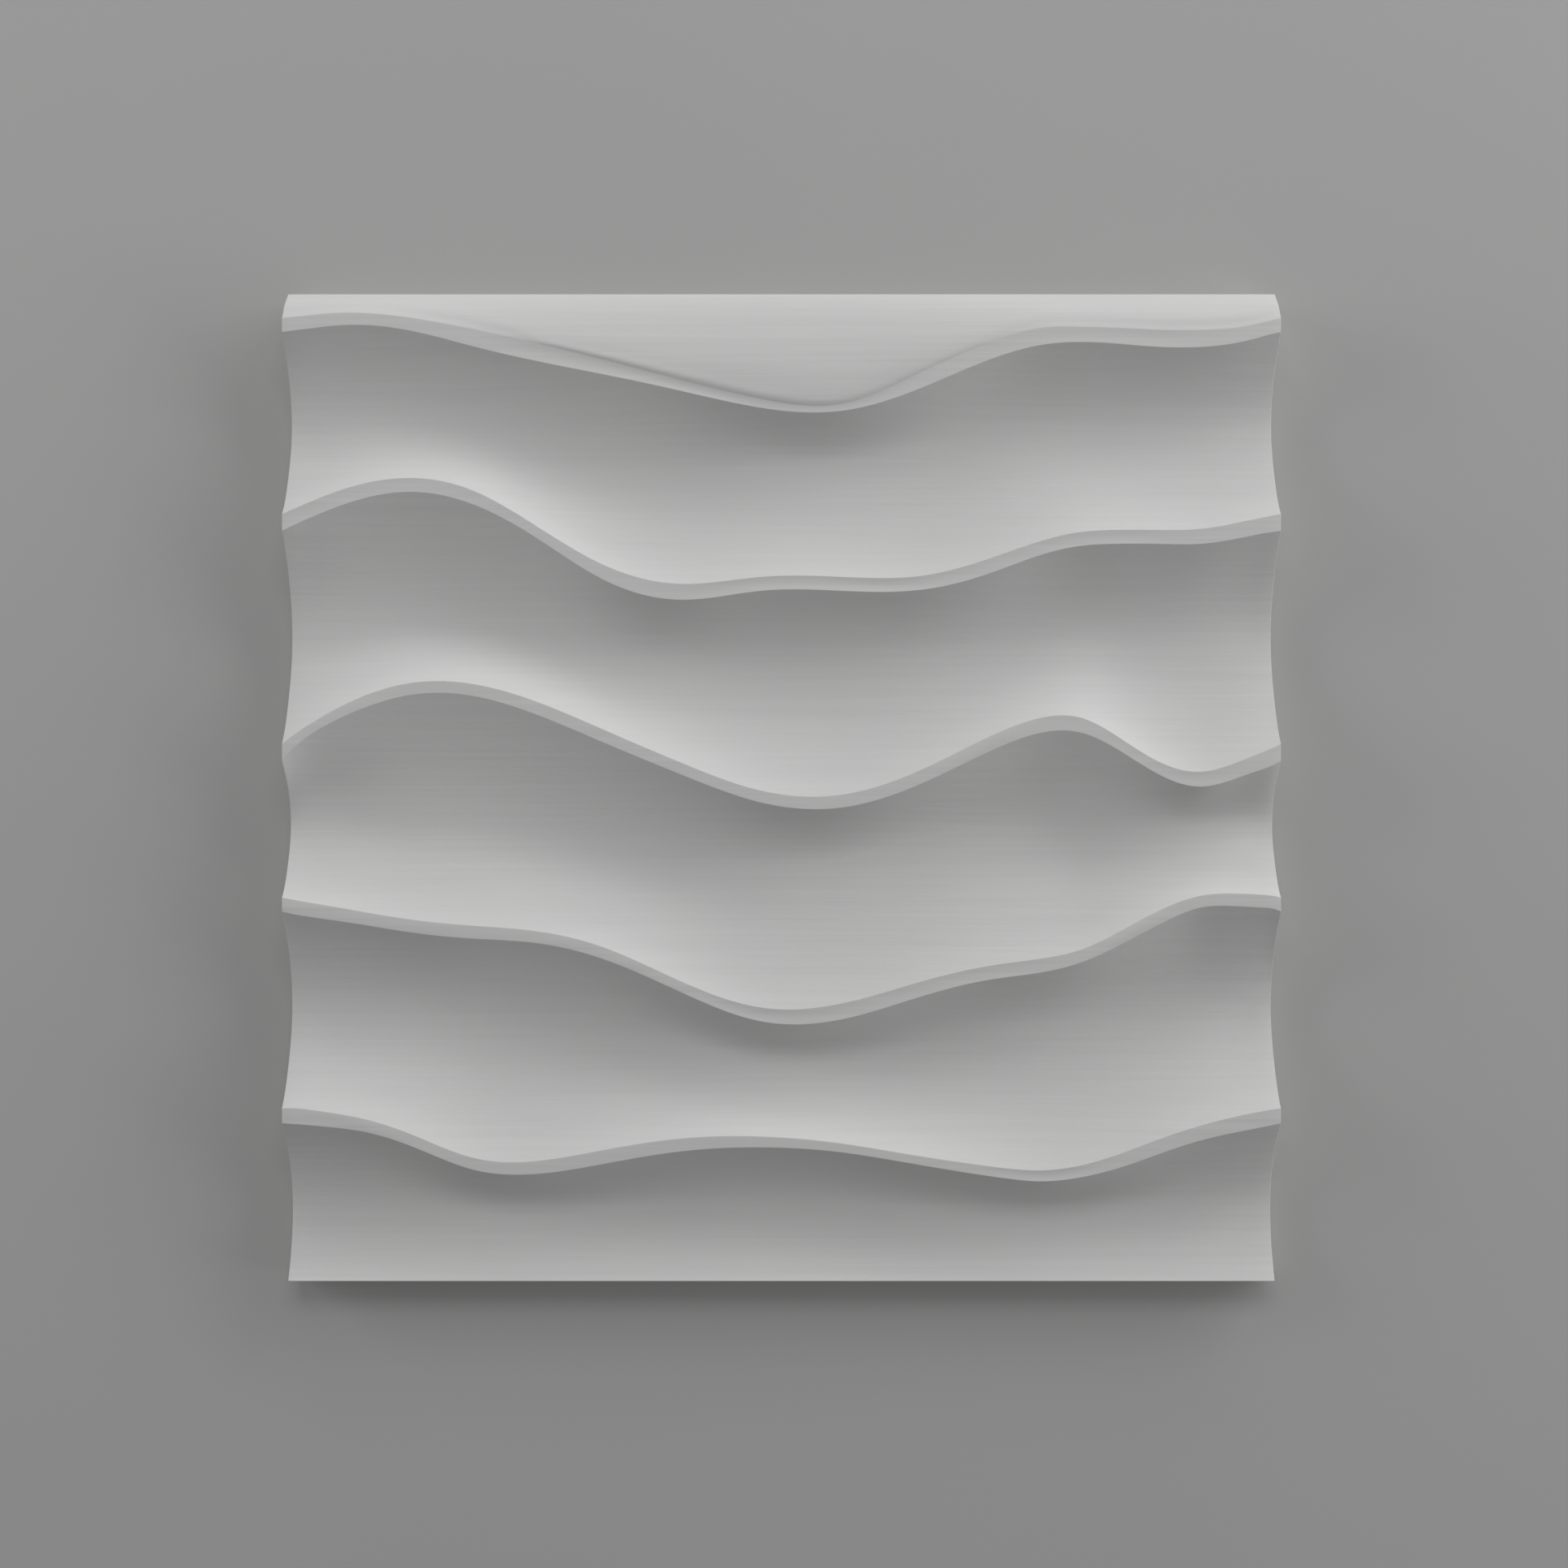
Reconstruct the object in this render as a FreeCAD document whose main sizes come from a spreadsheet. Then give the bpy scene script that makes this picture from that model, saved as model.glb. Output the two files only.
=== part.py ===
import FreeCAD, Part
import os
import Sketcher
from FreeCAD import Vector

# A square wall panel tile, cast in one piece, lying on its flat back.
# +X runs to the right along the waves, +Y up the wall, and +Z out of the wall.
# The origin is the middle of the back. All sizes are in millimetres.
#
# The face has five narrow flat bands, all at the same height above the back.
# They wander up and down across the tile, and between them the face is scooped
# out. One wavy cutting body, lofted through sections at the stations below,
# takes all the hollows out of a flat blank at once.

SIZES = {
    "panel_width": 500.0,
    "panel_height": 500.0,
    "band_level": 30.0,
    "edge_level": 18.0,
    "swell": 1.2,
    "rim_run": 4.0,
    "rim_rise": 3.8,
    "shoulder": 7.0,
    "floor_1": 10.8,
    "floor_2": 9.9,
    "floor_3": 12.7,
    "floor_4": 9.9,
    "foot_floor": 8.8,
    "foot_line": 35.5,
    "foot_run": 18.0,
    "overrun": 6.0,
}

# Stations across the tile, as hundredths of its width. They stand closer
# together where the waves turn sharply.
STATIONS = (0, 4, 8, 13, 19, 25, 32, 40, 48, 56, 64, 71, 76, 80, 84, 88, 92, 96, 98, 100)

# Offsets at each station but the last, which shares those of the first, so that
# the waves run on from one tile to the next.
# The upper line of each band is measured from the edge or centre line named.
BAND_LINES = {
    "band_1": ("top", (15, 13, 12.5, 15, 20.5, 27, 35.5, 46, 55.5, 58, 42, 27, 20, 19.5, 20, 21, 21, 19.5, 17.5)),
    "band_2": ("top", (113, 104.5, 98, 95, 101, 117.5, 138, 148, 144.5, 144.5, 144, 135, 126.5, 122,
                       121, 121, 120.5, 117, 115)),
    "band_3": ("middle", (22, 35.5, 45.5, 52.5, 52, 44, 29.5, 12.5, -1.5, -3.5, 9, 26, 35, 35, 24.5,
                          12.5, 8, 13.5, 17.5)),
    "band_4": ("bottom", (195, 191.5, 188, 184, 181, 178.5, 170.5, 153, 140, 142, 153, 161, 164.5, 169,
                          178.5, 189, 196, 197, 196.5)),
    "band_5": ("bottom", (89.5, 88, 84.5, 76.5, 65, 63, 68.5, 74.5, 75.5, 72, 65.5, 60.5, 58.5, 61, 67,
                          74.5, 81, 86, 88)),
}

# Width of each band, measured up the tile
BAND_WIDTHS = {
    "band_1": (7, 6.5, 6, 6.5, 8.5, 9, 7.5, 5.5, 4.5, 3.5, 8, 8.5, 8.5, 7.5, 8, 8.5, 8.5, 7.5, 7),
    "band_2": (8.5, 8, 7.5, 7, 7, 6, 7.5, 8, 7, 7, 7, 7.5, 7, 7, 7, 7, 7.5, 8, 8),
    "band_3": (8.5, 5.5, 6, 6, 6, 6.5, 6.5, 6, 6, 6.5, 7, 7.5, 7.5, 7.5, 6.5, 6.5, 7.5, 8, 8.5),
    "band_4": (7, 7, 6.5, 6.5, 6.5, 6, 6, 5.5, 7, 8, 7.5, 7, 7, 6.5, 7, 7, 6, 6.5, 6.5),
    "band_5": (7.5, 7.5, 6.5, 6, 6, 6.5, 7, 6.5, 5.5, 4.5, 4.5, 5, 5.5, 6, 7, 7.5, 7.5, 8, 8),
}

# How far down each hollow its deepest line lies, in hundredths of the way from
# the band above to the band below
DEEPEST = {
    "hollow_1": (48, 54, 57, 59, 58, 54, 48, 40, 31, 27, 29, 32, 37, 41, 42, 42, 42, 44, 46),
    "hollow_2": (49, 57, 64, 68, 68, 60, 49, 39, 37, 36, 37, 42, 45, 45, 43, 41, 40, 42, 45),
    "hollow_3": (47, 54, 57, 58, 57, 57, 53, 44, 32, 27, 28, 36, 45, 52, 49, 43, 37, 39, 43),
    "hollow_4": (50, 48, 46, 42, 41, 42, 44, 39, 34, 33, 35, 33, 30, 30, 34, 40, 45, 49, 50),
}

# The strip above band 1 leaves the top edge steeply, turns over a shoulder and,
# where it is wide, swells above the bands and rolls down onto band 1. These give
# where the curve is drawn to, in parts of the strip's width, and how far it is
# lifted for every millimetre by which the strip is wider than at the side edges.
SHOULDER_PLACE = 0.42
SHOULDER_LIFT = 0.1
ROLL_PLACE = 0.12
ROLL_LIFT = 0.0375


def check(document):
    """Stops if anything in the document failed to build."""
    for thing in document.Objects:
        if "Invalid" in thing.State or "Error" in thing.State:
            raise RuntimeError("%s failed: %s" % (thing.Label, thing.State))


class Size:
    """A length with the formula on the sheet that gives it."""

    def __init__(self, number, formula):
        self.number = float(number)
        self.formula = formula

    def joined(self, other, sign, number):
        formula = other.formula if isinstance(other, Size) else repr(other)
        return Size(number, "(%s %s %s)" % (self.formula, sign, formula))

    def __add__(self, other):
        return self.joined(other, "+", self.number + amount(other))

    def __sub__(self, other):
        return self.joined(other, "-", self.number - amount(other))

    def __mul__(self, other):
        return self.joined(other, "*", self.number * amount(other))


def amount(value):
    return value.number if isinstance(value, Size) else float(value)


class SizeSheet:
    """The sheet of driving sizes: each has its name beside it as its alias."""

    def __init__(self, document):
        self.sheet = document.addObject("Spreadsheet::Sheet", "sizes")
        self.numbers = {}

    def put(self, name, number):
        row = len(self.numbers) + 1
        self.sheet.set("A%d" % row, name)
        self.sheet.set("B%d" % row, str(number))
        self.sheet.setAlias("B%d" % row, name)
        self.numbers[name] = number

    def size(self, name):
        return Size(self.numbers[name], "sizes." + name)


def fill_sheet(document):
    sheet = SizeSheet(document)
    for name, number in SIZES.items():
        sheet.put(name, number)
    for index, station in enumerate(STATIONS):
        sheet.put("station_at_%d" % index, station)
    for band, (datum, offsets) in BAND_LINES.items():
        for index, offset in enumerate(offsets):
            sheet.put("%s_at_%d" % (band, index), offset)
    for band, widths in BAND_WIDTHS.items():
        for index, width in enumerate(widths):
            sheet.put("%s_width_at_%d" % (band, index), width)
    for hollow, shares in DEEPEST.items():
        for index, share in enumerate(shares):
            sheet.put("%s_deepest_at_%d" % (hollow, index), share)
    return sheet


class Profile:
    """A closed outline drawn point by point in a section sketch."""

    def __init__(self, sketch, start):
        self.sketch = sketch
        self.start = start
        self.here = start
        self.pieces = []
        self.dimensions = []

    def vector(self, point):
        return Vector(point[0].number, point[1].number, 0)

    def add(self, geometry, end):
        piece = self.sketch.addGeometry(geometry, False)
        if self.pieces:
            self.sketch.addConstraint(Sketcher.Constraint("Coincident", self.pieces[-1], 2, piece, 1))
        self.pieces.append(piece)
        if end is self.start:
            self.sketch.addConstraint(Sketcher.Constraint("Coincident", piece, 2, self.pieces[0], 1))
        self.dimensions.append((piece, 1, self.here))
        self.here = end
        return piece

    def line_to(self, end):
        self.add(Part.LineSegment(self.vector(self.here), self.vector(end)), end)

    def curve_to(self, pulls, end):
        """A smooth curve from here to the end, drawn towards the points between."""
        poles = [self.vector(point) for point in [self.here] + pulls + [end]]
        degree = min(len(poles) - 1, 3)
        spans = len(poles) - degree
        knots = [step / spans for step in range(spans + 1)]
        times = [degree + 1] + [1] * (spans - 1) + [degree + 1]
        curve = Part.BSplineCurve(poles, times, knots, False, degree, [1.0] * len(poles), False)
        piece = self.add(curve, end)
        for index, pull in enumerate(pulls):
            handle = self.sketch.addGeometry(Part.Circle(self.vector(pull), Vector(0, 0, 1), 1.0), True)
            self.sketch.addConstraint(
                Sketcher.Constraint("InternalAlignment:Sketcher::BSplineControlPoint", handle, 3, piece, index + 1)
            )
            self.sketch.addConstraint(Sketcher.Constraint("Weight", handle, 1.0))
            self.dimensions.append((handle, 3, pull))

    def bind(self):
        """Gives every point its place, tied to the sheet."""
        for piece, spot, point in self.dimensions:
            for kind, length in (("DistanceX", point[0]), ("DistanceY", point[1])):
                number = self.sketch.addConstraint(
                    Sketcher.Constraint(kind, -1, 1, piece, spot, length.number)
                )
                self.sketch.setExpression("Constraints[%d]" % number, length.formula)


def measured_from(sheet, datum, offset):
    half = sheet.size("panel_height") * 0.5
    if datum == "top":
        return half - offset
    if datum == "bottom":
        return offset - half
    return offset


def draw_section(sheet, sketch, index):
    """The outline of the cutting body at one station: the tile's face below it,
    and a plain edge clear of the blank above it."""
    spot = index % (len(STATIONS) - 1)
    level = sheet.size("band_level")
    edge = sheet.size("edge_level")
    half = sheet.size("panel_height") * 0.5
    foot = half * -1
    overrun = sheet.size("overrun")
    above = level + sheet.size("swell") + overrun

    uppers, lowers = [], []
    for band, (datum, offsets) in BAND_LINES.items():
        upper = measured_from(sheet, datum, sheet.size("%s_at_%d" % (band, spot)))
        uppers.append(upper)
        lowers.append(upper - sheet.size("%s_width_at_%d" % (band, spot)))

    start = (half + overrun, edge)
    face = Profile(sketch, start)
    face.line_to((half, edge))

    strip = half - uppers[0]
    spread = strip - sheet.size("band_1_at_0")
    face.curve_to(
        [
            (half - sheet.size("rim_run"), edge + sheet.size("rim_rise")),
            (half - strip * SHOULDER_PLACE, edge + sheet.size("shoulder") + spread * SHOULDER_LIFT),
            (uppers[0] + strip * ROLL_PLACE, level + sheet.size("swell") * ROLL_LIFT * spread),
        ],
        (uppers[0], level),
    )
    for number, (hollow, shares) in enumerate(DEEPEST.items()):
        face.line_to((lowers[number], level))
        floor = sheet.size("floor_%d" % (number + 1))
        span = lowers[number] - uppers[number + 1]
        drop = span * sheet.size("%s_deepest_at_%d" % (hollow, spot)) * 0.01
        deepest = lowers[number] - drop
        face.curve_to([(lowers[number] - drop * 0.5, floor)], (deepest, floor))
        face.curve_to([(uppers[number + 1] + (span - drop) * 0.5, floor)], (uppers[number + 1], level))
    face.line_to((lowers[4], level))
    foot_floor = sheet.size("foot_floor")
    foot_line = foot + sheet.size("foot_line")
    face.curve_to([(foot_line + (lowers[4] - foot_line) * 0.5, foot_floor)], (foot_line, foot_floor))
    face.curve_to([(foot + sheet.size("foot_run"), foot_floor)], (foot, edge))
    face.line_to((foot - overrun, edge))
    face.line_to((foot - overrun, above))
    face.line_to((half + overrun, above))
    face.line_to(start)
    face.bind()


def base_plane(body, role):
    return next(plane for plane in body.Origin.OriginFeatures if plane.Role == role)


def make_blank(document, body):
    """The flat blank, as high as the highest point of the face."""
    outline = body.newObject("Sketcher::SketchObject", "blank_outline")
    outline.AttachmentSupport = [(base_plane(body, "XY_Plane"), "")]
    outline.MapMode = "FlatFace"
    corners = [Vector(-1, -1, 0), Vector(1, -1, 0), Vector(1, 1, 0), Vector(-1, 1, 0)]
    for index in range(4):
        outline.addGeometry(Part.LineSegment(corners[index], corners[(index + 1) % 4]), False)
    outline.addConstraint(
        [Sketcher.Constraint("Coincident", index, 2, (index + 1) % 4, 1) for index in range(4)]
        + [Sketcher.Constraint("Horizontal", 0), Sketcher.Constraint("Horizontal", 2)]
        + [Sketcher.Constraint("Vertical", 1), Sketcher.Constraint("Vertical", 3)]
        + [Sketcher.Constraint("Symmetric", 0, 1, 2, 1, -1, 1)]
    )
    across = outline.addConstraint(Sketcher.Constraint("DistanceX", 0, 1, 0, 2, 2))
    outline.setExpression("Constraints[%d]" % across, "sizes.panel_width")
    upwards = outline.addConstraint(Sketcher.Constraint("DistanceY", 1, 1, 1, 2, 2))
    outline.setExpression("Constraints[%d]" % upwards, "sizes.panel_height")
    blank = body.newObject("PartDesign::Pad", "blank")
    blank.Profile = outline
    blank.setExpression("Length", "sizes.band_level + sizes.swell")
    document.recompute()
    return blank


def make_relief(document, body, sheet):
    """The wavy cut that leaves the face, lofted from side to side."""
    sections = []
    for index in range(len(STATIONS)):
        sketch = body.newObject("Sketcher::SketchObject", "section_%d" % index)
        sketch.AttachmentSupport = [(base_plane(body, "YZ_Plane"), "")]
        sketch.MapMode = "FlatFace"
        sketch.setExpression(
            "AttachmentOffset.Base.z", "sizes.panel_width * (sizes.station_at_%d / 100 - 0.5)" % index
        )
        draw_section(sheet, sketch, index)
        sections.append(sketch)
    document.recompute()
    relief = body.newObject("PartDesign::SubtractiveLoft", "relief")
    relief.Profile = sections[0]
    relief.Sections = sections[1:]
    relief.Ruled = False
    document.recompute()
    return relief


document = FreeCAD.newDocument("wall_panel_tile")
sheet = fill_sheet(document)
document.recompute()

body = document.addObject("PartDesign::Body", "wall_panel")
body.Label = "wall_panel"
blank = make_blank(document, body)
blank_volume = blank.Shape.Volume
relief = make_relief(document, body, sheet)
body.Tip = relief
document.recompute()
check(document)

tile = body.Shape
if tile.isNull() or not tile.isValid() or len(tile.Solids) != 1:
    raise RuntimeError("the tile is not one sound solid")
if tile.Volume >= blank_volume:
    raise RuntimeError("the relief cut nothing")
box = tile.BoundBox
print("tile %.2f x %.2f x %.2f mm" % (box.XLength, box.YLength, box.ZLength))
print("volume %.3f litres, %d faces" % (tile.Volume / 1e6, len(tile.Faces)))

os.makedirs("parts", exist_ok=True)
tile.exportStep("parts/%s.step" % body.Label)
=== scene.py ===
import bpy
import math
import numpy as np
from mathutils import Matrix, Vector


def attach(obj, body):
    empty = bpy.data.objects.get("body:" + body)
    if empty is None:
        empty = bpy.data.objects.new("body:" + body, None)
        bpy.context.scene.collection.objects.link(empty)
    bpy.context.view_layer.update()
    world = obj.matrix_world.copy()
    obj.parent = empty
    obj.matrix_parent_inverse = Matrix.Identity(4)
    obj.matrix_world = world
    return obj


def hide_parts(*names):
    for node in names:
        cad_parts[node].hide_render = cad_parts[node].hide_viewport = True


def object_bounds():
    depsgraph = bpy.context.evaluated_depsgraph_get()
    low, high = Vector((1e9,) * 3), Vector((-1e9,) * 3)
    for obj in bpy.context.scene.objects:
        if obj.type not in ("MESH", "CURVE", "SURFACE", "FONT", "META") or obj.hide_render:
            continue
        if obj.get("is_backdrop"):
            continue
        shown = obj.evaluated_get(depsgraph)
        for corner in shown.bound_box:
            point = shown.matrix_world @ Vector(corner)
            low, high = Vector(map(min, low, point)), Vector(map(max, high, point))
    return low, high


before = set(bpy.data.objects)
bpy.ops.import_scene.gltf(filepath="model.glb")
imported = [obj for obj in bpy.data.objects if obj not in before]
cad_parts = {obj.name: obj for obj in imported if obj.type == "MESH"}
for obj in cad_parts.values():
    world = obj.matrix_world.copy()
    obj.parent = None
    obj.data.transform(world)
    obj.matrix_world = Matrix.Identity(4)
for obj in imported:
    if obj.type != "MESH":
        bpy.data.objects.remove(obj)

# %% [markdown]
# # A cast wall panel tile
# The object is a square wall tile, 500 mm on a side, cast in plaster and painted
# matt white. Five narrow, nearly flat bands wander across its face, and between
# them it is scooped out into long smooth hollows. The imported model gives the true
# shape as loose triangles. This script lays a smooth skin over the same lines, adds
# the fine relief and the finish, and lights the tile low from its top and its right,
# so that every slope shows.

cad_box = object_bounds()
scene = bpy.context.scene
scene.view_settings.view_transform = "Standard"


def only(*things):
    """Deselects everything, then selects these, the first of them active."""
    bpy.ops.object.select_all(action="DESELECT")
    for thing in things:
        thing.select_set(True)
    bpy.context.view_layer.objects.active = things[0]


def mm(lengths):
    """Lengths in millimetres, for printing."""
    return [round(float(length) * 1000, 2) for length in lengths]


print("CAD box in mm:", [mm(corner) for corner in cad_box])

# %% [markdown]
# ## The camera
# The tile lies on its back and the camera hangs straight above its middle. The
# sides of the tile bow in slightly where the face is hollow, because what lies
# lower looks smaller: that tells how near the camera is, about twice the tile's
# width away with an ordinary lens. A long lens would straighten the outline.

# %% Camera
FIELD_OF_VIEW = 45
CAMERA_PLACE = (0.0013, 0.00185, 0.977)
camera_data = bpy.data.cameras.new("camera")
camera = bpy.data.objects.new("camera", camera_data)
scene.collection.objects.link(camera)
scene.camera = camera
camera_data.angle = math.radians(FIELD_OF_VIEW)
camera_data.clip_end = 20
camera.location = CAMERA_PLACE
print("camera", round(camera.location.z, 3), "m above the floor")

# %% [markdown]
# ## The light
# White relief is read from its shades alone. Wide, low panels of light beyond the
# tile's top edge, to its upper right and to its right brighten every slope that
# faces them, and leave the lee of each band in soft shade. A weaker one from the
# left models the bends of the waves, and one higher up lifts the whole face. Small
# lamps would draw hard shadows, and high ones alone would wash the hollows out. The
# even world light fills the shade to a soft grey.

# %% Light
WORLD_STRENGTH = 0.235


def light_panel(name, azimuth, elevation, distance, width, height, power):
    """A flat panel of light that faces the middle of the tile; angles in degrees."""
    data = bpy.data.lights.new(name, "AREA")
    data.shape = "RECTANGLE"
    data.size, data.size_y, data.energy = width, height, power
    lamp = bpy.data.objects.new(name, data)
    scene.collection.objects.link(lamp)
    round_z, up = math.radians(azimuth), math.radians(elevation)
    lamp.location = (
        distance * math.cos(up) * math.cos(round_z),
        distance * math.cos(up) * math.sin(round_z),
        distance * math.sin(up),
    )
    lamp.rotation_euler = (-Vector(lamp.location)).to_track_quat("-Z", "Y").to_euler()


light_panel("key", 40, 15, 3.0, 2.4, 0.7, 33.9)
light_panel("high", 90, 50, 2.5, 1.6, 0.8, 10.8)
light_panel("skim", 90, 10, 2.5, 2.2, 0.5, 9.0)
light_panel("right", 0, 15, 3.5, 2.8, 0.8, 37.6)
light_panel("left", 160, 15, 2.5, 1.6, 0.7, 18.8)
world = bpy.data.worlds.new("studio")
world.use_nodes = True
background = world.node_tree.nodes["Background"]
background.inputs["Color"].default_value = (1, 1, 1, 1)
background.inputs["Strength"].default_value = WORLD_STRENGTH
scene.world = world

# %% [markdown]
# ## Small tools for materials
# Every finish here is built from the same few steps: a position, stretched to the
# grain's direction, a noise, and a ramp that turns the noise into a narrow range.
# The position is the object's own, in metres, so a pattern stays put on the tile.

# %% Material helpers
NODES_FROM, NODE_STEP, NODES_ABREAST = (-1400, 500), (190, 220), 6


class Finish:
    """A material with its shader, and short ways to add patterns to it."""

    def __init__(self, name):
        self.material = bpy.data.materials.new(name)
        self.material.use_nodes = True
        self.nodes = self.material.node_tree.nodes
        self.links = self.material.node_tree.links
        self.shader = self.nodes["Principled BSDF"]
        self.place = self.nodes.new("ShaderNodeTexCoord")
        self.count = 0

    def add(self, kind, **settings):
        """A new node, set beside the last one so that the tree can be read."""
        node = self.nodes.new(kind)
        self.count += 1
        down, along = divmod(self.count, NODES_ABREAST)
        node.location = (
            NODES_FROM[0] + NODE_STEP[0] * along,
            NODES_FROM[1] - NODE_STEP[1] * down,
        )
        for name, value in settings.items():
            setattr(node, name, value)
        return node

    def stretched(self, scale, turn=0.0):
        """The object's own position, scaled along each axis."""
        mapping = self.add("ShaderNodeMapping")
        mapping.inputs["Scale"].default_value = scale
        mapping.inputs["Rotation"].default_value = (0, 0, math.radians(turn))
        self.links.new(self.place.outputs["Object"], mapping.inputs["Vector"])
        return mapping.outputs["Vector"]

    def noise(self, scale, detail, roughness=0.5, turn=0.0):
        """Cloudy noise; scale is how many lumps there are in a metre, along x, y and z."""
        node = self.add("ShaderNodeTexNoise")
        node.inputs["Scale"].default_value = 1.0
        node.inputs["Detail"].default_value = detail
        node.inputs["Roughness"].default_value = roughness
        self.links.new(self.stretched(scale, turn), node.inputs["Vector"])
        return node.outputs["Fac"]

    def cells(self, scale):
        """How far each point is from the nearest of many scattered spots."""
        node = self.add("ShaderNodeTexVoronoi")
        node.inputs["Scale"].default_value = 1.0
        self.links.new(self.stretched(scale), node.inputs["Vector"])
        return node.outputs["Distance"]

    def ranged(self, value, low, high, to_low, to_high):
        """Maps a value from one range to another, and holds it there."""
        node = self.add("ShaderNodeMapRange")
        ends = {"From Min": low, "From Max": high, "To Min": to_low, "To Max": to_high}
        for name, number in ends.items():
            node.inputs[name].default_value = number
        self.links.new(value, node.inputs["Value"])
        return node.outputs["Result"]

    def product(self, first, second):
        """One pattern times another."""
        node = self.add("ShaderNodeMath", operation="MULTIPLY")
        self.links.new(first, node.inputs[0])
        self.links.new(second, node.inputs[1])
        return node.outputs["Value"]

    def blended(self, amount, first, second):
        """From the first colour to the second; either may be a pattern's output."""
        node = self.add("ShaderNodeMix", data_type="RGBA")
        self.links.new(amount, node.inputs["Factor"])
        for socket, value in ((node.inputs["A"], first), (node.inputs["B"], second)):
            if isinstance(value, tuple):
                socket.default_value = value + (1.0,)
            else:
                self.links.new(value, socket)
        return node.outputs["Result"]

    def colour(self, value):
        """Takes the surface's colour from a pattern."""
        self.links.new(value, self.shader.inputs["Base Color"])

    def rough(self, value):
        """Takes the surface's roughness from a pattern."""
        self.links.new(value, self.shader.inputs["Roughness"])

    def bumps(self, *heights):
        """Raises the surface by each pattern in turn; a depth is in metres."""
        last = None
        for height, depth in heights:
            node = self.add("ShaderNodeBump")
            node.inputs["Distance"].default_value = depth
            self.links.new(height, node.inputs["Height"])
            if last is not None:
                self.links.new(last, node.inputs["Normal"])
            last = node.outputs["Normal"]
        self.links.new(last, self.shader.inputs["Normal"])


print("material tools ready")

# %% [markdown]
# ## The floor
# The tile lies on a plain, pale floor, a little darker than the tile so that its
# white rim stands out. Its colour varies by a few parts in a hundred, as a swept
# studio floor's does, and it catches the tile's soft shadow.

# %% Floor
FLOOR_WIDTH = 8
FLOOR_DARK, FLOOR_PALE = (0.435, 0.435, 0.435), (0.465, 0.465, 0.462)
bpy.ops.mesh.primitive_plane_add(size=FLOOR_WIDTH, location=(0, 0, 0))
floor = bpy.context.object
floor.name = "floor"
floor_finish = Finish("studio_floor")
floor_clouds = floor_finish.noise((2.2, 2.2, 2.2), 4)
floor_finish.colour(floor_finish.blended(floor_clouds, FLOOR_DARK, FLOOR_PALE))
floor_finish.shader.inputs["Roughness"].default_value = 0.9
floor_finish.shader.inputs["Specular IOR Level"].default_value = 0.2
floor.data.materials.append(floor_finish.material)
floor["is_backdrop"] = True
print("floor is", floor.dimensions.x, "m wide")

# %% [markdown]
# ## The tile's lines
# The whole face hangs on a few long lines: the two edges of each flat band, and
# the deepest line of each hollow. They could be drawn again by eye, but the CAD
# node already has them exactly, as the rims of its level triangles and as its
# lowest points. So a copy of the node is merged, and the lines are read from it.

# %% Merged copy
SAME = 1e-6  # places closer than this, in metres, are one place
cad_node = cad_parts["wall_panel"]
pattern = cad_node.copy()
pattern.data = cad_node.data.copy()
pattern.name = "pattern"
scene.collection.objects.link(pattern)
only(pattern)
bpy.ops.object.mode_set(mode="EDIT")
bpy.ops.mesh.select_all(action="SELECT")
bpy.ops.mesh.remove_doubles(threshold=SAME)
bpy.ops.object.mode_set(mode="OBJECT")
points = np.array([tuple(vertex.co) for vertex in pattern.data.vertices])
print(len(points), "points in the merged copy")

# %% [markdown]
# A band is the set of triangles that lie level at 30 mm. An edge that only one
# such triangle uses is on the rim of a band. Walking from the left side of the
# tile to the right along these edges gives ten lines, two for each band.

# %% Band lines
HALF = 0.25
BAND_LEVEL = 0.030


def rim_edges(mesh):
    """The edges round the level bands, without those on the tile's sides."""
    level = np.abs(points[:, 2] - BAND_LEVEL) < SAME
    at_side = np.abs(np.abs(points[:, 0]) - HALF) < SAME
    uses = {}
    for face in mesh.polygons:
        if level[list(face.vertices)].all():
            for key in face.edge_keys:
                uses[key] = uses.get(key, 0) + 1
    return [key for key, count in uses.items() if count == 1 and not at_side[list(key)].all()]


def walked_lines(edges):
    """Each chain of edges, as its points from left to right, from the top one down."""
    beside = {}
    for first, second in edges:
        beside.setdefault(first, []).append(second)
        beside.setdefault(second, []).append(first)
    chains = []
    for start in (index for index in beside if points[index][0] < -HALF + SAME):
        chain, last, here = [start], None, start
        while True:
            onward = [index for index in beside[here] if index != last]
            if not onward:
                break
            last, here = here, onward[0]
            chain.append(here)
        chains.append(points[chain])
    return sorted(chains, key=lambda chain: -chain[0][1])


band_rims = walked_lines(rim_edges(pattern.data))
print(len(band_rims), "band rims, with", [len(line) for line in band_rims], "points")

# %% [markdown]
# The lines are needed at many columns, and smooth between the points. A cubic
# through the points with the slopes of their neighbours does that: it meets every
# point and turns without corners, where straight runs would show as facets in the
# raking light. The columns stand 2 mm apart, and closer beside the two side edges,
# where the face turns down a little.

# %% Columns
EDGE_COLUMNS = np.array([0, 0.6, 1.3, 2.1, 3.1, 4.3, 5.7]) / 1000
INNER_FROM, INNER_COLUMNS = 0.0075, 243
TOO_CLOSE = 2e-4  # of points nearer along x than this, only the first counts
inner = np.linspace(-HALF + INNER_FROM, HALF - INNER_FROM, INNER_COLUMNS)
column_x = np.concatenate((EDGE_COLUMNS - HALF, inner, (HALF - EDGE_COLUMNS)[::-1]))
COLUMNS = len(column_x) - 1


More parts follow.
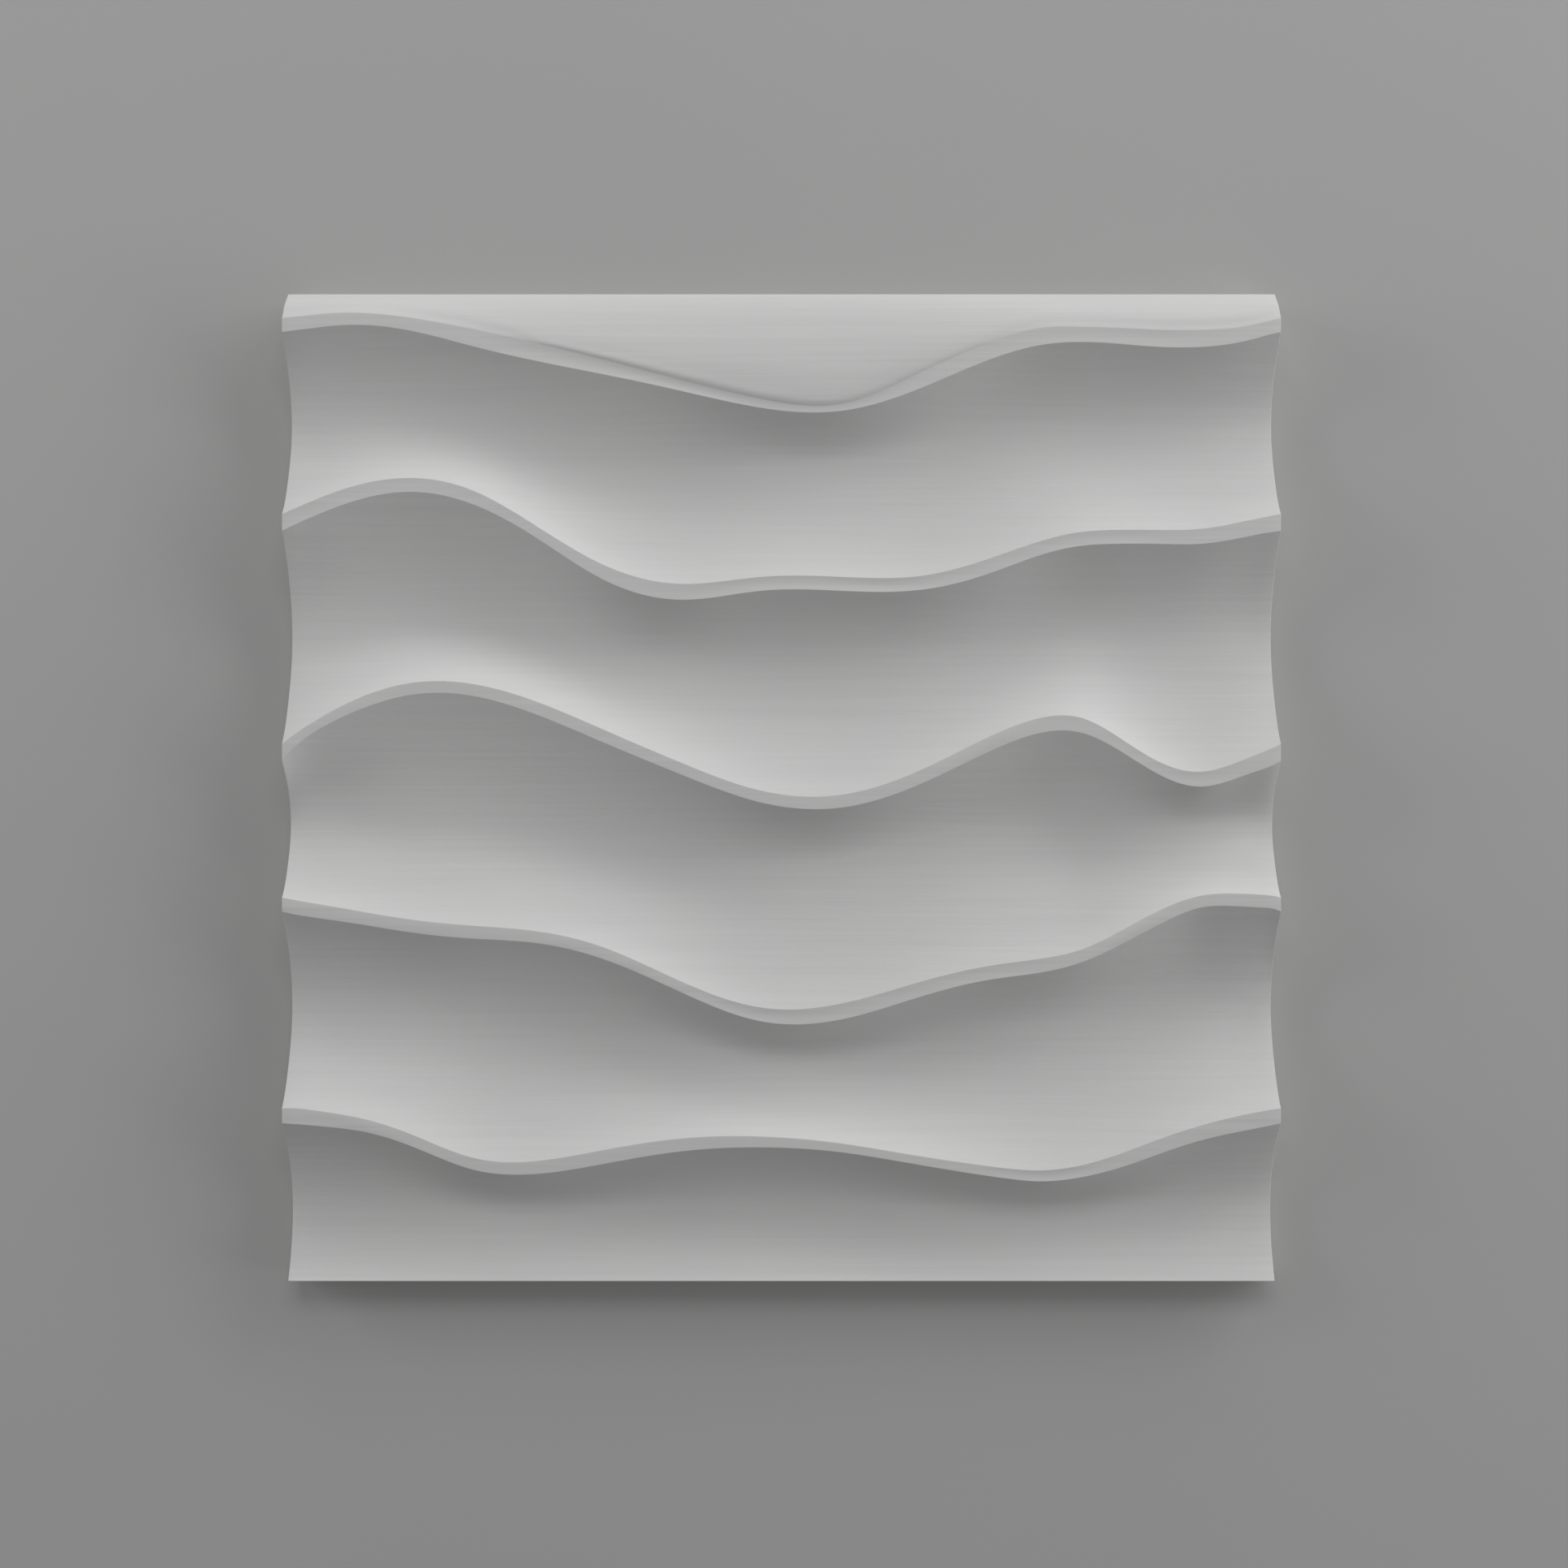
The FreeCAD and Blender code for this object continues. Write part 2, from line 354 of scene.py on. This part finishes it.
def smooth_line(line):
    """The line's y at every column, by a cubic through its points."""
    line = line[np.argsort(line[:, 0])]
    x, y = line[:, 0], line[:, 1]
    keep = np.concatenate(([True], np.diff(x) > TOO_CLOSE))
    x, y = x[keep], y[keep]
    slope = np.gradient(y, x, edge_order=2 if len(x) > 2 else 1)
    spot = np.clip(np.searchsorted(x, column_x) - 1, 0, len(x) - 2)
    run = x[spot + 1] - x[spot]
    part = (column_x - x[spot]) / run
    return (
        y[spot] * (1 + 2 * part) * (1 - part) ** 2
        + slope[spot] * run * part * (1 - part) ** 2
        + y[spot + 1] * part ** 2 * (3 - 2 * part)
        + slope[spot + 1] * run * part ** 2 * (part - 1)
    )


rims = [smooth_line(line) for line in band_rims]
band_tops, band_feet = rims[0::2], rims[1::2]
widths = [(top - foot).mean() for top, foot in zip(band_tops, band_feet)]
print(COLUMNS, "steps between columns; bands are", mm(widths), "mm wide")

# %% [markdown]
# The deepest line of a hollow is found the same way: of the points between two
# bands, the lowest ones. Below the last band the hollow runs straight along the
# foot of the tile, so its line has only two points.

# %% Deepest lines
CLEAR_OF_RIM, CLEAR_OF_BACK = 0.002, 0.001
LEVEL_WITHIN = 5e-7
floors, deepest = [], []
for upper, lower in zip(band_feet, band_tops[1:] + [np.full(len(column_x), -HALF)]):
    upper_y = np.interp(points[:, 0], column_x, upper) - CLEAR_OF_RIM
    lower_y = np.interp(points[:, 0], column_x, lower) + CLEAR_OF_RIM
    between = (points[:, 1] < upper_y) & (points[:, 1] > lower_y)
    inside = points[between & (points[:, 2] > CLEAR_OF_BACK)]
    depth = inside[:, 2].min()
    floors.append(float(depth))
    deepest.append(smooth_line(inside[inside[:, 2] < depth + LEVEL_WITHIN]))
print("hollow floors at", mm(floors), "mm")

# %% [markdown]
# ## The cross-section
# Cut anywhere from top to bottom, the tile shows the same kinds of curve. Each
# side of a hollow is level at the bottom and meets the band at an angle, which is
# why the bands look crisp. The side in the lee of a band is a parabola. The lit
# side starts as one too, runs on nearly straight and turns up a little below the
# next band: its even grey and the bright line along each band tell that. This is
# stronger in some hollows than in others. It takes the surface half a millimetre or
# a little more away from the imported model's plain parabola. The functions give the
# points of each curve from its lower end to its upper end in the photo.

# %% Sides of a hollow
LEE_STEPS, LIT_STEPS, CROWDING = 14, 17, 1.4
STEEPER_BY = (  # share of the run from the deepest line, and how much steeper there
    (0, 0), (0.1, 0.025), (0.2, 0.04), (0.3, 0.05), (0.4, 0.03), (0.5, -0.012),
    (0.6, -0.055), (0.7, -0.095), (0.8, -0.095), (0.9, -0.005), (1, 0.15),
)
CURLS = (1.2, 0.9, 1.2, 0.9)  # how strong this is, hollow by hollow from the top
FINE_STEPS, CLIMB_SOFTNESS = 400, 30
fine_share = np.linspace(0, 1, FINE_STEPS + 1)


def softened(values, reach, **beyond):
    """Each value averaged with its neighbours, the farthest of them reach places away."""
    weights = np.hanning(2 * reach + 1)
    return np.convolve(np.pad(values, reach, **beyond), weights / weights.sum(), mode="valid")


def climb(curl):
    """How far the lit side has risen at each fine share of its run, from 0 to 1."""
    steepness = fine_share + curl * np.interp(fine_share, *np.array(STEEPER_BY).T)
    steepness = softened(steepness, CLIMB_SOFTNESS, mode="reflect", reflect_type="odd")
    height = np.concatenate(([0], np.cumsum((steepness[1:] + steepness[:-1]) / 2)))
    return height / height[-1]


def lee_side(from_y, to_y, depth):
    """Up from the deepest line of a hollow to the lower rim of the band above it."""
    share = np.linspace(0, 1, LEE_STEPS + 1)
    return from_y + (to_y - from_y) * share, depth + (BAND_LEVEL - depth) * share ** 2


def lit_side(from_y, to_y, depth, climbed):
    """From the upper rim of a band down into the hollow above it."""
    share = 1 - np.linspace(0, 1, LIT_STEPS + 1) ** CROWDING
    height = depth + (BAND_LEVEL - depth) * np.interp(share, fine_share, climbed)
    return from_y + (to_y - from_y) * (1 - share), height


climbs = [climb(curl) for curl in CURLS]
off = [
    np.abs(climbed - fine_share ** 2).max() * (BAND_LEVEL - depth)
    for climbed, depth in zip(climbs, floors)
]
print("lit sides leave the parabola by", mm(off), "mm")

# %% [markdown]
# The strip above the first band rises steeply from the top edge, turns over a
# shoulder, swells a little above the bands where it is wide and rolls down onto
# the band. The foot of the tile sweeps up to the bottom edge. Both are drawn as
# Bezier curves, which their inner points pull into shape. Where the strip meets
# the band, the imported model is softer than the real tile: in the photo the strip
# drops onto the band over a short lip in the middle, and slopes away from a crisp
# edge near both sides. So the last millimetres are raised or cut there, by a hump
# of a given height and reach.

# %% Strip and foot
EDGE_LEVEL = 0.018
RIM_RUN, RIM_RISE = 0.004, 0.0038
SHOULDER_AT, SHOULDER_RISE, SHOULDER_GAIN = 0.42, 0.007, 0.1
ROLL_AT, SWELL, SWELL_GAIN = 0.12, 0.0012, 37.5
FOOT_RUN = 0.018
STRIP_STEPS, STRIP_CROWDING, FOOT_STEPS = 16, 1.3, 9
CREASE = (  # x, height and reach of the hump, in mm
    (-250, -0.70, 3.0), (-200, -0.65, 3.0), (-160, -0.50, 2.8), (-138, -0.30, 2.5),
    (-120, 0.12, 1.4), (-100, 0.30, 1.6), (-80, 0.36, 2.0), (-40, 0.36, 2.5),
    (0, 0.32, 2.5), (25, 0.28, 2.4), (45, 0.18, 2.2), (70, 0.10, 2.0),
    (100, 0.02, 2.0), (112, -0.18, 2.4), (130, -0.42, 2.8), (150, -0.50, 2.8),
    (200, -0.45, 2.8), (250, -0.60, 2.8),
)
crease_x, crease_height, crease_reach = np.array(CREASE).T / 1000
edge_width = HALF - band_tops[0][0]


def halfway(first, second):
    """The point between two points."""
    return tuple((a + b) / 2 for a, b in zip(first, second))


def pulled(poles, steps, crowding=1.0):
    """A Bezier curve drawn towards its inner points."""
    share = np.linspace(0, 1, steps + 1) ** crowding
    degree = len(poles) - 1
    weights = [
        math.comb(degree, k) * share ** k * (1 - share) ** (degree - k)
        for k in range(degree + 1)
    ]
    return (
        sum(weight * pole[0] for weight, pole in zip(weights, poles)),
        sum(weight * pole[1] for weight, pole in zip(weights, poles)),
    )


def top_strip(band_y, x):
    """From the first band up to the top edge, with the crease at the band."""
    width = HALF - band_y
    spread = width - edge_width
    edge = (HALF, EDGE_LEVEL)
    rim = (HALF - RIM_RUN, EDGE_LEVEL + RIM_RISE)
    shoulder = (HALF - width * SHOULDER_AT, EDGE_LEVEL + SHOULDER_RISE + spread * SHOULDER_GAIN)
    roll = (band_y + width * ROLL_AT, BAND_LEVEL + SWELL * SWELL_GAIN * spread)
    meet_low, meet_high = halfway(roll, shoulder), halfway(rim, shoulder)
    middle = halfway(meet_low, meet_high)
    low = pulled([(band_y, BAND_LEVEL), roll, meet_low, middle], STRIP_STEPS, STRIP_CROWDING)
    high = pulled([middle, meet_high, rim, edge], STRIP_STEPS)
    height = np.interp(x, crease_x, crease_height)
    reach = np.interp(x, crease_x, crease_reach)
    for y, z in (low, high):
        away = (y - band_y) / reach
        z += height * away * np.exp((1 - away ** 2) / 2)
    return low, high


print("steps across the strip:", 2 * STRIP_STEPS, "and up the foot:", FOOT_STEPS)

# %% [markdown]
# The bands are level in the model, but on the real tile they aren't dead flat:
# across the middle their upper half is a shade darker than their lower half, so
# they are dished by a few tenths of a millimetre, and in a few places they are
# crowned instead. That was left by the hand that finished the pattern, so it is
# added here, as a depth that changes slowly along each band.

# %% Dished bands
DISHES = (  # for each band from the top, places along x and the depth there, in mm
    ((-160, 0), (-130, 0.25), (-110, 0.32), (-30, 0.25), (0, 0.05), (20, 0), (50, 0.2),
     (75, 0.03), (100, 0.05), (130, 0.15), (160, 0.15), (190, 0.25), (215, 0.12), (235, 0)),
    ((-200, 0.1), (-120, 0), (-90, 0), (-60, 0.1), (-30, 0.28), (10, 0.25), (50, 0.42),
     (80, 0.25), (110, 0.12), (140, 0.18), (175, 0.28), (205, 0.1), (230, 0)),
    ((-215, -0.05), (-190, 0), (70, 0), (100, -0.22), (130, 0), (190, 0.05), (212, 0.17),
     (235, 0)),
    ((-240, -0.1), (-60, -0.05), (-45, 0), (-25, 0.2), (-5, 0.28), (20, 0.22), (60, 0.15),
     (95, 0.2), (130, 0.12), (150, 0), (178, -0.28), (200, 0)),
    ((-225, 0), (-208, -0.18), (-185, 0), (95, 0), (115, 0.15), (132, 0.3), (152, 0.22),
     (172, 0)),
)
DISH_SOFTNESS = 5
dishes = [
    softened(np.interp(column_x, *(np.array(spots).T / 1000)), DISH_SOFTNESS, mode="edge")
    for spots in DISHES
]
print("deepest dish of each band in mm:", mm(dish.max() for dish in dishes))

# %% [markdown]
# One section is the list of these curves, joined end to end, with the five bands
# between the hollows. It also tells which of its points are the rims of bands,
# since those rows are bevelled later.

# %% Whole sections
BAND_STEPS = 5
LAST = 4


def band(number, column):
    """Across one band, from its lower rim to its upper rim."""
    share = np.linspace(0, 1, BAND_STEPS + 1)
    low, high = band_feet[number][column], band_tops[number][column]
    sink = dishes[number][column] * 4 * share * (1 - share)
    return low + (high - low) * share, BAND_LEVEL - sink


def section(column):
    """All points of one cut, from the bottom edge up, and the rows of the rims."""
    foot_y = deepest[LAST][column]
    foot = [(-HALF, EDGE_LEVEL), (-HALF + FOOT_RUN, floors[LAST]), (foot_y, floors[LAST])]
    curves = [
        pulled(foot, FOOT_STEPS),
        lee_side(foot_y, band_feet[LAST][column], floors[LAST]),
        band(LAST, column),
    ]
    for number in reversed(range(LAST)):
        line = deepest[number][column]
        curves += [
            lit_side(band_tops[number + 1][column], line, floors[number], climbs[number]),
            lee_side(line, band_feet[number][column], floors[number]),
            band(number, column),
        ]
    curves += top_strip(band_tops[0][column], column_x[column])
    y, z, rows = [-HALF], [EDGE_LEVEL], []
    for next_y, next_z in curves:
        if len(next_y) == BAND_STEPS + 1:  # only a band has so few points
            rows += [len(y) - 1, len(y) - 1 + BAND_STEPS]
        y += list(next_y[1:])
        z += list(next_z[1:])
    return np.array(y), np.array(z), rows


sections = [section(column) for column in range(COLUMNS + 1)]
ROWS = len(sections[0][0]) - 1
rim_rows = sections[0][2]
print(ROWS, "by", COLUMNS, "steps in the skin, rims on rows", rim_rows)
print("highest point", mm([max(z.max() for _, z, _ in sections)]), "mm")

# %% [markdown]
# ## The skin
# A flat grid with as many rows and columns as the sections have points is laid
# down, and each of its points moves to its place on the face, so that whole rows
# run along the rims of the bands. Rows that follow the waves give clean arrises
# and smooth light, where a plain square grid would cut the bands into steps.
# Towards both sides the face is eased by a quarter of a millimetre, as the photo's
# slightly brighter side edges suggest.

# %% Grid
EASE_RUN, EASE_DEPTH = 0.007, 0.00025
bpy.ops.mesh.primitive_grid_add(x_subdivisions=COLUMNS, y_subdivisions=ROWS, size=2 * HALF)
tile = bpy.context.object
tile.name = "tile"
mesh = tile.data
skin = np.empty(len(mesh.vertices) * 3)
mesh.vertices.foreach_get("co", skin)
skin = skin.reshape(-1, 3)
column_of = np.rint((skin[:, 0] + HALF) / (2 * HALF) * COLUMNS).astype(int)
row_of = np.rint((skin[:, 1] + HALF) / (2 * HALF) * ROWS).astype(int)
all_y = np.array([y for y, _, _ in sections])
all_z = np.array([z for _, z, _ in sections])
into_ease = np.clip(1 - (HALF - np.abs(column_x)) / EASE_RUN, 0, 1)
skin[:, 0] = column_x[column_of]
skin[:, 1] = all_y[column_of, row_of]
skin[:, 2] = all_z[column_of, row_of] - (EASE_DEPTH * into_ease ** 2)[column_of]
mesh.vertices.foreach_set("co", skin.ravel())
mesh.update()
print(len(mesh.vertices), "points in the skin")

# %% [markdown]
# ## Sides and back
# The cast block below the face is plain. The open border of the skin is pulled
# straight down, flattened onto the floor and closed with one flat face, as the
# mould's walls and the screeded back leave it.

# %% Block
DROP = 0.004  # any depth will do, since the next step flattens the border to zero
only(tile)
bpy.ops.object.mode_set(mode="EDIT")
bpy.ops.mesh.select_mode(type="EDGE")
bpy.ops.mesh.select_all(action="SELECT")
bpy.ops.mesh.region_to_loop()
bpy.ops.mesh.extrude_region_move(TRANSFORM_OT_translate={"value": (0, 0, -DROP)})
bpy.ops.transform.resize(value=(1, 1, 0), center_override=(0, 0, 0))
bpy.ops.mesh.edge_face_add()
bpy.ops.mesh.select_all(action="SELECT")
bpy.ops.mesh.normals_make_consistent(inside=False)
bpy.ops.object.mode_set(mode="OBJECT")
lowest = min(vertex.co.z for vertex in mesh.vertices)
print("block closed:", len(mesh.polygons), "faces, lowest point", round(lowest, 6))

# %% [markdown]
# ## Arrises
# No cast edge is perfectly sharp. The rims of the bands and the corners of the
# block get a bevel of a few tenths of a millimetre, which catches a thin line of
# light. The bevel tool works on selected edges, so they are picked by their rows
# and by the angle at which their faces meet.

# %% Bevel
ARRIS, CORNER_COSINE = 0.00035, 0.85
row_at = {int(index): int(row_of[index]) for index in np.nonzero(np.isin(row_of, rim_rows))[0]}
faces_at = {}
for face in mesh.polygons:
    face.select = False
    for key in face.edge_keys:
        faces_at.setdefault(key, []).append(face.normal)


def is_arris(edge):
    """Whether an edge runs along a band's rim, round the back or round a corner."""
    first, second = sorted(edge.vertices)
    if first in row_at and row_at[first] == row_at.get(second):
        return True
    one_side, other_side = faces_at[first, second]
    at_back = all(mesh.vertices[index].co.z < SAME for index in (first, second))
    return at_back or one_side.dot(other_side) < CORNER_COSINE


for vertex in mesh.vertices:
    vertex.select = False
for edge in mesh.edges:
    edge.select = is_arris(edge)
    if edge.select:
        for index in edge.vertices:
            mesh.vertices[index].select = True
only(tile)
bpy.ops.object.mode_set(mode="EDIT")
bpy.ops.mesh.bevel(
    offset=ARRIS, offset_type="OFFSET", segments=2, affect="EDGES", clamp_overlap=True
)
bpy.ops.object.mode_set(mode="OBJECT")
print("with bevels:", len(mesh.polygons), "faces")

# %% [markdown]
# Smooth shading now spreads light over the hollows. Weighted normals let the wide
# faces decide, so each band keeps its own shade right up to its narrow bevels.

# %% Shading
SMOOTH_BELOW = 50
only(tile)
bpy.ops.object.shade_smooth_by_angle(angle=math.radians(SMOOTH_BELOW))
weigh = tile.modifiers.new("weigh", "WEIGHTED_NORMAL")
weigh.mode = "FACE_AREA"
weigh.keep_sharp = True
bpy.ops.object.modifier_apply(modifier="weigh")
triangles = sum(len(face.vertices) - 2 for face in mesh.polygons)
print("skin and block have", triangles, "triangles")

# %% [markdown]
# ## The painted face
# The face is smooth cast plaster under thin matt white paint. Close up it isn't
# perfectly even: faint level streaks show where it was rubbed down, the paint has
# a fine tooth like eggshell, and the white varies by a few parts in a hundred.
# All of it is kept so faint that the relief, not the finish, is what one sees.

# %% Face finish
WHITE, PALE_WHITE = (0.632, 0.633, 0.630), (0.652, 0.651, 0.645)
RUBBED_WHITE = (0.612, 0.613, 0.612)
face_finish = Finish("matt_white_paint")
clouds = face_finish.noise((14, 14, 14), 3, 0.55)
streaks = face_finish.noise((9, 420, 60), 2, 0.6)
long_streaks = face_finish.noise((3.5, 120, 30), 2, 0.5)
grain = face_finish.noise((1300, 1300, 1300), 2, 0.6)
white = face_finish.blended(face_finish.ranged(clouds, 0.3, 0.7, 0.0, 1.0), WHITE, PALE_WHITE)
rubbed = face_finish.ranged(streaks, 0.35, 0.7, 0.0, 0.55)
face_finish.colour(face_finish.blended(rubbed, white, RUBBED_WHITE))
face_finish.rough(face_finish.ranged(grain, 0.3, 0.7, 0.66, 0.80))
face_finish.shader.inputs["Specular IOR Level"].default_value = 0.28
face_finish.bumps((long_streaks, 0.00030), (streaks, 0.00007), (grain, 0.00002))
print("face finish:", face_finish.material.name)

# %% [markdown]
# ## The raw cast sides and back
# Paint stops at the face. The sides show bare plaster as the mould left it, a
# little warmer and rougher, with small round air holes: each is a shallow dent, and
# the shade inside it is painted on as a darker colour. The back was struck off with
# a straight board while the plaster was wet, which left it dull, with long shallow
# drag marks that give the glue its grip.

# %% Side and back finishes
PLASTER_DARK, PLASTER_PALE = (0.575, 0.565, 0.540), (0.640, 0.632, 0.612)
# painted shade: the inside of each air hole is coloured darker to stand for the shade in it
PAINTED_HOLE_SHADE = (0.44, 0.43, 0.41)


def bare_plaster(name, drag, hole_share):
    """Unpainted plaster; drag is the depth of its board marks, in metres."""
    finish = Finish(name)
    mottle = finish.noise((38, 38, 38), 5, 0.6)
    sand = finish.noise((700, 700, 700), 3, 0.6)
    marks = finish.noise((6, 190, 190), 4, 0.65, turn=12)
    spots = finish.cells((130, 130, 130))
    small_spots = finish.cells((420, 420, 420))
    holes = finish.ranged(spots, hole_share * 0.6, hole_share, 0.0, 1.0)
    pin_holes = finish.ranged(small_spots, 0.05, 0.12, 0.0, 1.0)
    mottled = finish.ranged(mottle, 0.3, 0.7, 0.0, 1.0)
    body = finish.blended(mottled, PLASTER_DARK, PLASTER_PALE)
    # the air holes take the painted hole shade, and the rest takes the mottled plaster
    finish.colour(finish.blended(finish.product(holes, pin_holes), PAINTED_HOLE_SHADE, body))
    finish.rough(finish.ranged(sand, 0.3, 0.7, 0.82, 0.95))
    finish.shader.inputs["Specular IOR Level"].default_value = 0.2
    finish.bumps((marks, drag), (holes, 0.0005), (pin_holes, 0.0002), (sand, 0.00006))
    return finish.material


side_material = bare_plaster("bare_plaster_side", 0.00008, 0.075)
back_material = bare_plaster("bare_plaster_back", 0.00060, 0.055)
print("bare finishes:", side_material.name, back_material.name)

# %% [markdown]
# The three finishes go on by the way each part of the surface faces: down is the
# back, outwards is a side, and the rest is the painted face. Paint wraps over the
# narrow bevel at the rim, as it does from a roller.

# %% Apply finishes
FACE, SIDE, BACK = 0, 1, 2
BACK_BELOW, SIDE_BELOW = -0.5, 0.25  # how far up a face may look, 1 being straight up
for material in (face_finish.material, side_material, back_material):
    mesh.materials.append(material)
for face in mesh.polygons:
    if face.normal.z < BACK_BELOW:
        face.material_index = BACK
    elif face.normal.z < SIDE_BELOW:
        face.material_index = SIDE
    else:
        face.material_index = FACE
used = [face.material_index for face in mesh.polygons]
print("faces per finish:", [used.count(index) for index in (FACE, SIDE, BACK)])

# %% [markdown]
# ## Ready
# The merged copy was only a pattern to measure from, so it goes. The tile rides
# on the part's one body and stands for the CAD node, which is hidden.

# %% Declare and measure
bpy.data.objects.remove(pattern, do_unlink=True)
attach(tile, "root")
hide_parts("wall_panel")
visual_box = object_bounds()
print("visual box in mm:", [mm(corner) for corner in visual_box])
